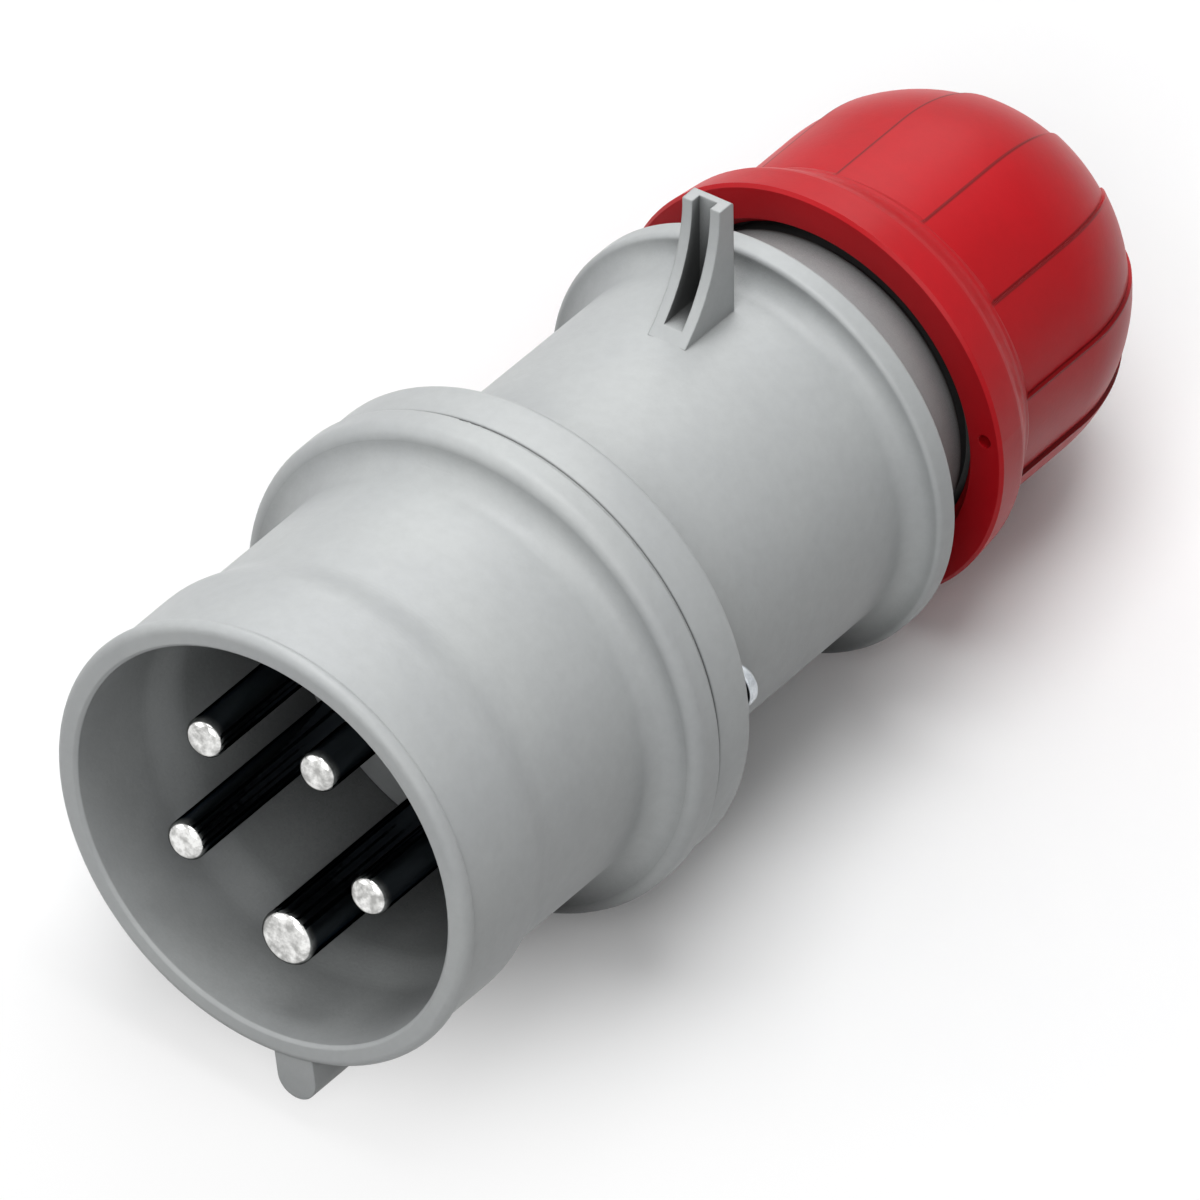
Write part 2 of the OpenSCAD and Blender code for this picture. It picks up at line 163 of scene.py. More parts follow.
def piece_from(name: str, mesh: bmesh.types.BMesh, smooth_deg: float = 35.0) -> bpy.types.Object:
    """Makes an object of a finished bmesh, smooth but for its sharp edges.

    Args:
        name: The piece's name.
        mesh: The bmesh, which is freed.
        smooth_deg: Edges that turn by more than this stay sharp.

    Returns:
        The object, linked to the scene.
    """
    bmesh.ops.remove_doubles(mesh, verts=mesh.verts, dist=1e-7)
    bmesh.ops.recalc_face_normals(mesh, faces=mesh.faces)
    data = bpy.data.meshes.new(name)
    mesh.to_mesh(data)
    mesh.free()
    data.shade_smooth()
    data.set_sharp_from_angle(angle=math.radians(smooth_deg))
    obj = bpy.data.objects.new(name, data)
    bpy.context.scene.collection.objects.link(obj)
    return obj


def arc(
    centre: tuple[float, float], radius: float, start_deg: float, end_deg: float, steps: int = 8
) -> list[tuple[float, float]]:
    """Points along an arc in a flat outline.

    Args:
        centre: Middle of the arc.
        radius: Its radius.
        start_deg: Where it starts.
        end_deg: Where it ends, on either side of the start.
        steps: Number of its straight stretches.

    Returns:
        The points, both ends included.
    """
    turn = (math.radians(start_deg + (end_deg - start_deg) * i / steps) for i in range(steps + 1))
    return [(centre[0] + radius * math.cos(a), centre[1] + radius * math.sin(a)) for a in turn]


def revolved(outline: Sequence[tuple[float, float]], steps: int = 192) -> bmesh.types.BMesh:
    """Spins a closed outline round the Y axis.

    Args:
        outline: Radius and depth of its points, in millimetres.
        steps: Number of facets round the axis.

    Returns:
        The closed ring as a bmesh, in metres.
    """
    mesh = bmesh.new()
    rings = []
    for i in range(steps):
        a = math.tau * i / steps
        rings.append([
            mesh.verts.new((r * math.sin(a) * MM, y * MM, r * math.cos(a) * MM)) for r, y in outline])
    for one, two in zip(rings, rings[1:] + rings[:1]):
        for j in range(len(outline)):
            k = (j + 1) % len(outline)
            mesh.faces.new((one[j], one[k], two[k], two[j]))
    return mesh


def prism(outline: Sequence[tuple[float, float]], width_mm: float) -> bmesh.types.BMesh:
    """Stretches a closed outline of depth and height across the X axis.

    Args:
        outline: Depth (Y) and height (Z) of its points, in millimetres.
        width_mm: Width, half of it on either side of X = 0.

    Returns:
        The closed prism as a bmesh, in metres.
    """
    mesh = bmesh.new()
    sides = [
        [mesh.verts.new((x * MM, y * MM, z * MM)) for y, z in outline]
        for x in (-width_mm / 2, width_mm / 2)]
    for side in sides:
        mesh.faces.new(side)
    for j in range(len(outline)):
        k = (j + 1) % len(outline)
        mesh.faces.new((sides[0][j], sides[0][k], sides[1][k], sides[1][j]))
    return mesh


def combine(
    base: bpy.types.Object, tool: bpy.types.Object, operation: str, smooth_deg: float = 35.0
) -> None:
    """Joins a tool's solid to a piece, or cuts it out, and removes the tool.

    Args:
        base: The piece that stays.
        tool: The solid that is used up.
        operation: The Boolean modifier's operation.
        smooth_deg: Edges that turn by more than this stay sharp.
    """
    change = base.modifiers.new("shape", "BOOLEAN")
    change.operation = operation
    change.solver = "EXACT"
    change.object = tool
    graph = bpy.context.evaluated_depsgraph_get()
    made = bpy.data.meshes.new_from_object(base.evaluated_get(graph))
    base.modifiers.clear()
    old = base.data
    base.data = made
    made.name = base.name
    made.shade_smooth()
    made.set_sharp_from_angle(angle=math.radians(smooth_deg))
    bpy.data.meshes.remove(old)
    bpy.data.objects.remove(tool)


# --------------------------------------------------------------------------- finishes


@dataclass(frozen=True)
class Finish:
    """What every finish has: a name, and the record's slot that it stands for."""

    name: str
    slot: str

    def material(self) -> bpy.types.Material:
        """Returns the finish's material, which is built once and then shared."""
        # The slots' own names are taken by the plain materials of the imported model.
        made = bpy.data.materials.get(self.name)
        if made is None:
            made = bpy.data.materials.new(self.name)
            made.use_nodes = True
            made.node_tree.nodes.clear()
            self.build(made.node_tree)
        return made

    def build(self, tree: bpy.types.NodeTree) -> None:
        """Fills the node tree."""
        raise NotImplementedError

    def put_on(self, obj: bpy.types.Object) -> None:
        """Gives the finish to every face of an object."""
        obj.data.materials.clear()
        obj.data.materials.append(self.material())


@dataclass(frozen=True)
class MouldedPolyamide(Finish):
    """Satin polyamide from a spark-eroded mould.

    Attributes:
        body: Colour of the plastic.
        bloom: Colour where the skin is a little duller and paler.
        roughness: Middle of the roughness.
        sheen_change: How far the roughness strays from its middle.
        speck_change: How far the colour's lightness strays from one speck to the next.
        grain_mm: Size of the mould's spark-eroded grain.
        grain_depth_mm: Depth of that grain.
        flow_mm: Size of the slow changes that the melt's flow leaves.
        edge_mm: Radius that the mould leaves on every sharp edge.
        hollow: Share of its lightness that the colour keeps in the deepest painted shade.
        specular: Strength of the clear reflection, half for a bare plastic.
    """

    body: str = "#B4B7B8"
    bloom: str = "#BBBEBE"
    roughness: float = 0.45
    sheen_change: float = 0.04
    speck_change: float = 0.03
    grain_mm: float = 0.5
    grain_depth_mm: float = 0.012
    flow_mm: float = 18.0
    edge_mm: float = 0.35
    hollow: float = 0.1
    specular: float = 0.5

    def build(self, tree: bpy.types.NodeTree) -> None:
        """Fills the node tree with the plastic's colour, sheen and grain."""
        place = add_node(tree, "ShaderNodeTexCoord").outputs["Object"]
        # The melt's flow shows as slow, faint clouds in colour and gloss.
        flow = add_node(tree, "ShaderNodeTexNoise", inputs={
            "Vector": place, "Scale": cells_per_metre(self.flow_mm), "Detail": 3.0,
            "Roughness": 0.55})
        speck = add_node(tree, "ShaderNodeTexNoise", inputs={
            "Vector": place, "Scale": cells_per_metre(self.grain_mm * 3), "Detail": 4.0,
            "Roughness": 0.6})
        clouds = add_node(tree, "ShaderNodeMapRange", inputs={
            "Value": flow.outputs["Fac"], "From Min": 0.35, "From Max": 0.65})
        tone = add_node(tree, "ShaderNodeMix", {"data_type": "RGBA"}, {
            0: clouds.outputs["Result"], 6: linear(self.body), 7: linear(self.bloom)})
        specks = add_node(tree, "ShaderNodeMapRange", inputs={
            "Value": speck.outputs["Fac"], "From Min": 0.3, "From Max": 0.7,
            "To Min": 1.0 - self.speck_change, "To Max": 1.0 + self.speck_change})
        # Painted shade in the hollows darkens the specked colour.
        shaded = add_node(tree, "ShaderNodeMath", {"operation": "MULTIPLY"}, {
            0: specks.outputs["Result"], 1: self.lightness(tree, place)})
        toned = add_node(tree, "ShaderNodeHueSaturation", inputs={
            "Color": tone.outputs[2], "Value": shaded.outputs[0]})
        gloss = add_node(tree, "ShaderNodeMapRange", inputs={
            "Value": flow.outputs["Fac"], "From Min": 0.3, "From Max": 0.7,
            "To Min": self.roughness - self.sheen_change,
            "To Max": self.roughness + self.sheen_change})
        # Spark erosion leaves an even field of round craters.
        grain = add_node(tree, "ShaderNodeTexVoronoi", {"feature": "SMOOTH_F1"}, {
            "Vector": place, "Scale": cells_per_metre(self.grain_mm), "Smoothness": 0.6})
        edge = add_node(tree, "ShaderNodeBevel", {"samples": 6}, {
            "Radius": self.edge_mm * MM})
        relief = add_node(tree, "ShaderNodeBump", inputs={
            "Strength": 1.0, "Distance": self.grain_depth_mm * MM,
            "Height": grain.outputs["Distance"], "Normal": edge.outputs["Normal"]})
        shader = add_node(tree, "ShaderNodeBsdfPrincipled", inputs={
            "Base Color": toned.outputs["Color"], "Roughness": gloss.outputs["Result"],
            "IOR": 1.53, "Specular IOR Level": self.specular,
            "Normal": relief.outputs["Normal"]})
        add_node(tree, "ShaderNodeOutputMaterial", inputs={
            "Surface": shader.outputs["BSDF"]})

    def lightness(
        self, tree: bpy.types.NodeTree, place: bpy.types.NodeSocket
    ) -> bpy.types.NodeSocket:
        """Tells how light each spot is under painted shade, one where it is open.

        Args:
            tree: The material's node tree.
            place: The spot's place on the object.

        Returns:
            A factor for the colour's lightness.
        """
        return hollow_shade(tree, self.hollow)


@dataclass(frozen=True)
class GripPolyamide(MouldedPolyamide):
    """Satin polyamide with a painted shade line along the foot of each grip step.

    Attributes:
        panels: Number of grip panels round the axis.
        first_deg: Where the first step stands, from the top towards the right.
        line_mm: Width of the line.
        grip_r: Radius at which that width is measured, in millimetres.
        line_start: Depth behind the mouth at which the lines start, in millimetres.
        line_end: Depth at which they have faded out.
        fade_in: Length over which the lines begin, in millimetres.
        fade_out: Length over which they end, in millimetres.
        line_core: Share of the width, on either side, that has the full shade.
        line_edge: Share of the width, on either side, where the shade has ended.
        line_shade: Share of its lightness that the colour keeps on the painted shade line.
    """

    panels: int = 12
    first_deg: float = 15.0
    line_mm: float = 0.5
    grip_r: float = 23.7
    line_start: float = 113.6
    line_end: float = 142.0
    fade_in: float = 1.5
    fade_out: float = 6.0
    line_core: float = 0.3
    line_edge: float = 0.8
    line_shade: float = 0.4

    def lightness(
        self, tree: bpy.types.NodeTree, place: bpy.types.NodeSocket
    ) -> bpy.types.NodeSocket:
        """Adds the painted shade lines at the steps to the painted shade of the hollows.

        Args:
            tree: The material's node tree.
            place: The spot's place on the object.

        Returns:
            A factor for the colour's lightness.
        """
        half = math.pi / self.panels
        width = self.line_mm / self.grip_r
        axes = add_node(tree, "ShaderNodeSeparateXYZ", inputs={"Vector": place})
        angle = add_node(tree, "ShaderNodeMath", {"operation": "ARCTAN2"}, {
            0: axes.outputs["X"], 1: axes.outputs["Z"]})
        turned = add_node(tree, "ShaderNodeMath", {"operation": "SUBTRACT"}, {
            0: angle.outputs[0], 1: math.radians(self.first_deg)})
        nearest = add_node(tree, "ShaderNodeMath", {"operation": "WRAP"}, {
            0: turned.outputs[0], 1: half, 2: -half})
        away = add_node(tree, "ShaderNodeMath", {"operation": "ABSOLUTE"}, {0: nearest.outputs[0]})
        line = add_node(tree, "ShaderNodeMapRange", {"interpolation_type": "SMOOTHSTEP"}, {
            "Value": away.outputs[0], "From Min": self.line_core * width,
            "From Max": self.line_edge * width, "To Min": 1.0, "To Max": 0.0})
        begun = add_node(tree, "ShaderNodeMapRange", {"interpolation_type": "SMOOTHSTEP"}, {
            "Value": axes.outputs["Y"], "From Min": self.line_start * MM,
            "From Max": (self.line_start + self.fade_in) * MM})
        ended = add_node(tree, "ShaderNodeMapRange", {"interpolation_type": "SMOOTHSTEP"}, {
            "Value": axes.outputs["Y"], "From Min": (self.line_end - self.fade_out) * MM,
            "From Max": self.line_end * MM, "To Min": 1.0, "To Max": 0.0})
        inside = add_node(tree, "ShaderNodeMath", {"operation": "MULTIPLY"}, {
            0: begun.outputs["Result"], 1: ended.outputs["Result"]})
        painted_step_shade = add_node(tree, "ShaderNodeMath", {"operation": "MULTIPLY"}, {
            0: line.outputs["Result"], 1: inside.outputs[0]})
        share = add_node(tree, "ShaderNodeMapRange", inputs={
            "Value": painted_step_shade.outputs[0], "To Min": 1.0, "To Max": self.line_shade})
        return add_node(tree, "ShaderNodeMath", {"operation": "MULTIPLY"}, {
            0: share.outputs["Result"], 1: super().lightness(tree, place)}).outputs[0]


class Machining(Enum):
    """How a metal surface was cut, which sets the run of its fine lines."""

    TURNED = "turned"
    PRESSED = "pressed"


@dataclass(frozen=True)
class PlatedMetal(Finish):
    """Turned or pressed metal under bright plating.

    Attributes:
        plate: Colour of the plating where it is clean.
        haze: Colour where it is a little hazy.
        roughness: Roughness of the plating.
        clearer: How much less of it the clearest spots have.
        hazier: How much more of it the haziest spots have.
        haze_mm: Size of those spots.
        machining: How the metal was cut.
        line_mm: Spacing of the tool lines. Real ones are finer, and too fine to show.
        line_depth_mm: Depth of a tool line.
        edge_mm: Radius that the tumbling leaves on sharp edges.
        hollow: Share of its lightness that the colour keeps in the deepest painted shade.
        hollow_reach_mm: How far a neighbouring wall casts painted shade on it.
        shaft_shade: Colour of the painted shade on the shaft behind the bright tip, or nothing.
        bright_to: Depth behind the mouth to which the tip stays bright, in millimetres.
        shaft_shade_from: Depth at which the shaft's painted shade is full, in millimetres.
        rim: Tint of what the metal mirrors at a glancing angle.
    """

    plate: str
    haze: str
    roughness: float
    clearer: float = 0.05
    hazier: float = 0.08
    haze_mm: float = 1.4
    machining: Machining = Machining.TURNED
    line_mm: float = 1.57
    line_depth_mm: float = 0.004
    edge_mm: float = 0.2
    hollow: float = 0.25
    hollow_reach_mm: float = 10.0
    shaft_shade: str | None = None
    bright_to: float = 2.1
    shaft_shade_from: float = 3.5
    rim: str = "#FFFFFF"

    def build(self, tree: bpy.types.NodeTree) -> None:
        """Fills the node tree with the plating's colour, gloss and tool lines."""
        place = add_node(tree, "ShaderNodeTexCoord").outputs["Object"]
        haze = add_node(tree, "ShaderNodeTexNoise", inputs={
            "Vector": place, "Scale": cells_per_metre(self.haze_mm), "Detail": 4.0,
            "Roughness": 0.6})
        spots = add_node(tree, "ShaderNodeMapRange", inputs={
            "Value": haze.outputs["Fac"], "From Min": 0.38, "From Max": 0.62})
        tone = add_node(tree, "ShaderNodeMix", {"data_type": "RGBA"}, {
            0: spots.outputs["Result"], 6: linear(self.plate), 7: linear(self.haze)}).outputs[2]
        gloss = add_node(tree, "ShaderNodeMapRange", inputs={
            "Value": haze.outputs["Fac"], "From Min": 0.3, "From Max": 0.7,
            "To Min": self.roughness - self.clearer, "To Max": self.roughness + self.hazier})
        if self.shaft_shade is not None:
            # Painted shade: the shaft behind the bright tip is darkened, for the shade that falls on it
            # deep in the sleeve.
            axes = add_node(tree, "ShaderNodeSeparateXYZ", inputs={"Vector": place})
            shaft_shade_mask = add_node(tree, "ShaderNodeMapRange", {"interpolation_type": "SMOOTHSTEP"}, {
                "Value": axes.outputs["Y"], "From Min": self.bright_to * MM,
                "From Max": self.shaft_shade_from * MM}).outputs["Result"]
            tone = add_node(tree, "ShaderNodeMix", {"data_type": "RGBA"}, {
                0: shaft_shade_mask, 6: tone, 7: linear(self.shaft_shade)}).outputs[2]
        if self.machining is Machining.TURNED:
            # A lathe's lines run round the axis, one behind the other.
            lines = add_node(tree, "ShaderNodeTexWave", {
                "wave_type": "BANDS", "bands_direction": "Y"}, {
                "Vector": place,
                "Scale": cells_per_metre(self.line_mm) * math.tau / WAVE_RADIANS,
                "Distortion": 0.6, "Detail": 2.0}).outputs["Fac"]
        else:
            lines = add_node(tree, "ShaderNodeTexNoise", inputs={
                "Vector": place, "Scale": cells_per_metre(self.line_mm),
                "Detail": 3.0}).outputs["Fac"]
        edge = add_node(tree, "ShaderNodeBevel", {"samples": 6}, {
            "Radius": self.edge_mm * MM})
        relief = add_node(tree, "ShaderNodeBump", inputs={
            "Strength": 1.0, "Distance": self.line_depth_mm * MM, "Height": lines,
            "Normal": edge.outputs["Normal"]})
        # Painted shade darkens the colour in hollows.
        shaded = add_node(tree, "ShaderNodeHueSaturation", inputs={
            "Color": tone, "Value": hollow_shade(tree, self.hollow, self.hollow_reach_mm)})
        shader = add_node(tree, "ShaderNodeBsdfPrincipled", inputs={
            "Base Color": shaded.outputs["Color"],
            "Metallic": 1.0, "Specular Tint": linear(self.rim),
            "Roughness": gloss.outputs["Result"], "Normal": relief.outputs["Normal"]})
        add_node(tree, "ShaderNodeOutputMaterial", inputs={
            "Surface": shader.outputs["BSDF"]})


@dataclass(frozen=True)
class MouldedRubber(Finish):
    """Matt black rubber with a powdery bloom.

    Attributes:
        body: Colour of the rubber.
        bloom: Colour of the pale powder on it.
        powder_mm: Size of the powder's patches.
        grain_mm: Size of the surface's grain.
        grain_depth_mm: Depth of that grain.
    """

    body: str = "#1B1B1C"
    bloom: str = "#2C2C2D"
    powder_mm: float = 3.0
    grain_mm: float = 0.4
    grain_depth_mm: float = 0.02

    def build(self, tree: bpy.types.NodeTree) -> None:
        """Fills the node tree with the rubber's colour and grain."""
        place = add_node(tree, "ShaderNodeTexCoord").outputs["Object"]
        powder = add_node(tree, "ShaderNodeTexNoise", inputs={
            "Vector": place, "Scale": cells_per_metre(self.powder_mm), "Detail": 6.0,
            "Roughness": 0.65})
        tone = add_node(tree, "ShaderNodeMix", {"data_type": "RGBA"}, {
            0: powder.outputs["Fac"], 6: linear(self.body), 7: linear(self.bloom)})
        grain = add_node(tree, "ShaderNodeTexNoise", inputs={
            "Vector": place, "Scale": cells_per_metre(self.grain_mm), "Detail": 3.0})
        relief = add_node(tree, "ShaderNodeBump", inputs={
            "Strength": 1.0, "Distance": self.grain_depth_mm * MM,
            "Height": grain.outputs["Fac"]})
        shader = add_node(tree, "ShaderNodeBsdfPrincipled", inputs={
            "Base Color": tone.outputs[2], "Roughness": 0.78, "IOR": 1.52,
            "Normal": relief.outputs["Normal"]})
        add_node(tree, "ShaderNodeOutputMaterial", inputs={
            "Surface": shader.outputs["BSDF"]})


@dataclass(frozen=True)
class StudioBoard(Finish):
    """White studio board that keeps the object's shadow, faded by a painted glow at its front.

    Attributes:
        board: Colour of the board as it is seen and mirrored.
        fleck: Colour of its faint fibres.
        fibre_mm: Size of the fibres.
        bounce: Colour of the light that it throws back on the object.
        lit_way: Direction on the board along which its painted glow fades.
        lit_from: Place along it up to which the painted glow is full, in millimetres.
        lit_to: Place along it from which the painted glow is faint, in millimetres.
        lit_share: Share of glowing plain white where that painted light is full.
        lit_rest: Share of glowing plain white where it is faint.
    """

    board: str = "#FCFCFD"
    fleck: str = "#FEFEFE"
    fibre_mm: float = 6.0
    bounce: str = "#A0A0A0"
    lit_way: tuple[float, float, float] = (-0.45, 0.9, 0.0)
    lit_from: float = -48.0
    lit_to: float = 6.0
    lit_share: float = 0.85
    lit_rest: float = 0.05

    def build(self, tree: bpy.types.NodeTree) -> None:
        """Fills the node tree with a matt white that lights the object only a little."""
        place = add_node(tree, "ShaderNodeTexCoord").outputs["Object"]
        fibre = add_node(tree, "ShaderNodeTexNoise", inputs={
            "Vector": place, "Scale": cells_per_metre(self.fibre_mm), "Detail": 3.0})
        tone = add_node(tree, "ShaderNodeMix", {"data_type": "RGBA"}, {
            0: fibre.outputs["Fac"], 6: linear(self.board), 7: linear(self.fleck)})
        matt = add_node(tree, "ShaderNodeBsdfDiffuse", inputs={"Color": tone.outputs[2]})
        # Painted light: the board's front glows, as if lit from below, so the shadow is faint there.
        along = add_node(tree, "ShaderNodeVectorMath", {"operation": "DOT_PRODUCT"}, {
            0: place, 1: self.lit_way})
        lit = add_node(tree, "ShaderNodeMapRange", {"interpolation_type": "SMOOTHSTEP"}, {
            "Value": along.outputs["Value"], "From Min": self.lit_from * MM,
            "From Max": self.lit_to * MM, "To Min": self.lit_share, "To Max": self.lit_rest})
        painted_glow = add_node(tree, "ShaderNodeEmission", inputs={
            "Color": linear("#FFFFFF"), "Strength": 1.0})
        white = add_node(tree, "ShaderNodeMixShader", inputs={
            0: lit.outputs["Result"], 1: matt.outputs["BSDF"], 2: painted_glow.outputs["Emission"]})
        grey = add_node(tree, "ShaderNodeBsdfDiffuse", inputs={"Color": linear(self.bounce)})
        mixed = add_node(tree, "ShaderNodeMixShader", inputs={
            0: seen_by_eye(tree), 1: grey.outputs["BSDF"], 2: white.outputs["Shader"]})
        add_node(tree, "ShaderNodeOutputMaterial", inputs={
            "Surface": mixed.outputs["Shader"]})


# Light grey polyamide of the sleeve and the housing: a soft satin, never glossy, with deep painted shade
# in its hollows.
GREY = MouldedPolyamide("grey_satin_polyamide", "grey_polyamide")
# Signal red polyamide of the screw cap: a deep, even red with hardly any clear reflection,
# with painted shade lines at its grip steps and light painted shade in its hollows.
RED = GripPolyamide(
    "red_satin_polyamide", "red_polyamide", body="#B80D18", bloom="#BF121D",
    roughness=0.4, grain_depth_mm=0.006, edge_mm=0.1, hollow=0.78, specular=0.2)
# Grey glass-filled polyamide of the carrier: duller than the sleeve round it, with light painted shade in
# its hollows.
CARRIER = MouldedPolyamide(
    "grey_glass_filled_polyamide", "dark_polyamide", body="#B0B3B4", bloom="#B6B9BA",
    roughness=0.55, grain_mm=0.35, grain_depth_mm=0.015, hollow=0.7)
# Dark grey glass-filled polyamide of the holders inside: dull and even.
DARK = MouldedPolyamide(
    "dark_glass_filled_polyamide", "dark_polyamide", body="#2C2E30", bloom="#313335",
    roughness=0.52, grain_mm=0.35, grain_depth_mm=0.015)
# Bright nickel on turned brass: the pins' round tips shine, and their shafts get a dark painted shade.
NICKEL = PlatedMetal(
    "bright_nickel_on_brass", "nickel_plated_brass", plate="#F4F4F2", haze="#B0B0AE",
    roughness=0.1, shaft_shade="#5A6066", rim="#303030")
# Zinc on steel screws: cooler and duller than the nickel.
ZINC = PlatedMetal(
    "bright_zinc_on_steel", "zinc_plated_steel", plate="#D3D7DA", haze="#AEB3B8",
    roughness=0.3, machining=Machining.PRESSED, line_mm=0.3, line_depth_mm=0.006)
# Black rubber of the cord seal: matt and faintly powdery.
RUBBER = MouldedRubber("black_matt_rubber", "black_rubber")
# White board under the plug: it is seen white but for the soft shadow, and lights as grey.
BOARD = StudioBoard("white_studio_board", "")


# ----------------------------------------------------------------------- sub-assemblies


@dataclass
class Plug:
    """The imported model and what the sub-assemblies share.

    Attributes:
        nodes: The CAD nodes by name.
        roll_deg: How far the plug lies turned about its axis, seen facing the mouth.
    """

    nodes: dict[str, bpy.types.Object]
    roll_deg: float = 15.0

    def dress(self, finish: Finish, *names: str) -> None:
        """Gives a finish to CAD nodes.

        Args:
            finish: The finish.
            names: The nodes' names.
        """
        for name in names:
            finish.put_on(self.nodes[name])
            LOG.info("%s: %s", name, finish.name)

    def place(self, obj: bpy.types.Object, finish: Finish, body: str) -> bpy.types.Object:
        """Dresses a new piece and lets it ride on a body.

        Args:
            obj: The piece.
            finish: Its finish.
            body: The CAD body that carries it.

        Returns:
            The same piece.
        """
        finish.put_on(obj)
        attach(obj, body)
        LOG.info("%s: new piece on %s, %s", obj.name, body, finish.name)
        return obj


@dataclass
class Sleeve:
    """The round sleeve with the front half of the flange and the keyway rib."""

    plug: Plug

    def build(self) -> None:
        """Dresses the sleeve."""
        self.plug.dress(GREY, "front_shroud")


@dataclass
class ContactSet:
    """Carrier, retainer, five pins and their terminal screws."""

    plug: Plug

    def build(self) -> None:
        """Dresses the carrier and the contacts."""
        self.plug.dress(CARRIER, "pin_carrier")
        self.plug.dress(DARK, "contact_retainer")
        self.plug.dress(NICKEL, "pin_earth", "pin_neutral", *(f"pin_line_{i}" for i in (1, 2, 3)))
        self.plug.dress(
            ZINC, "retainer_screw", "terminal_screw_earth", "terminal_screw_neutral",
            *(f"terminal_screw_line_{i}" for i in (1, 2, 3)))


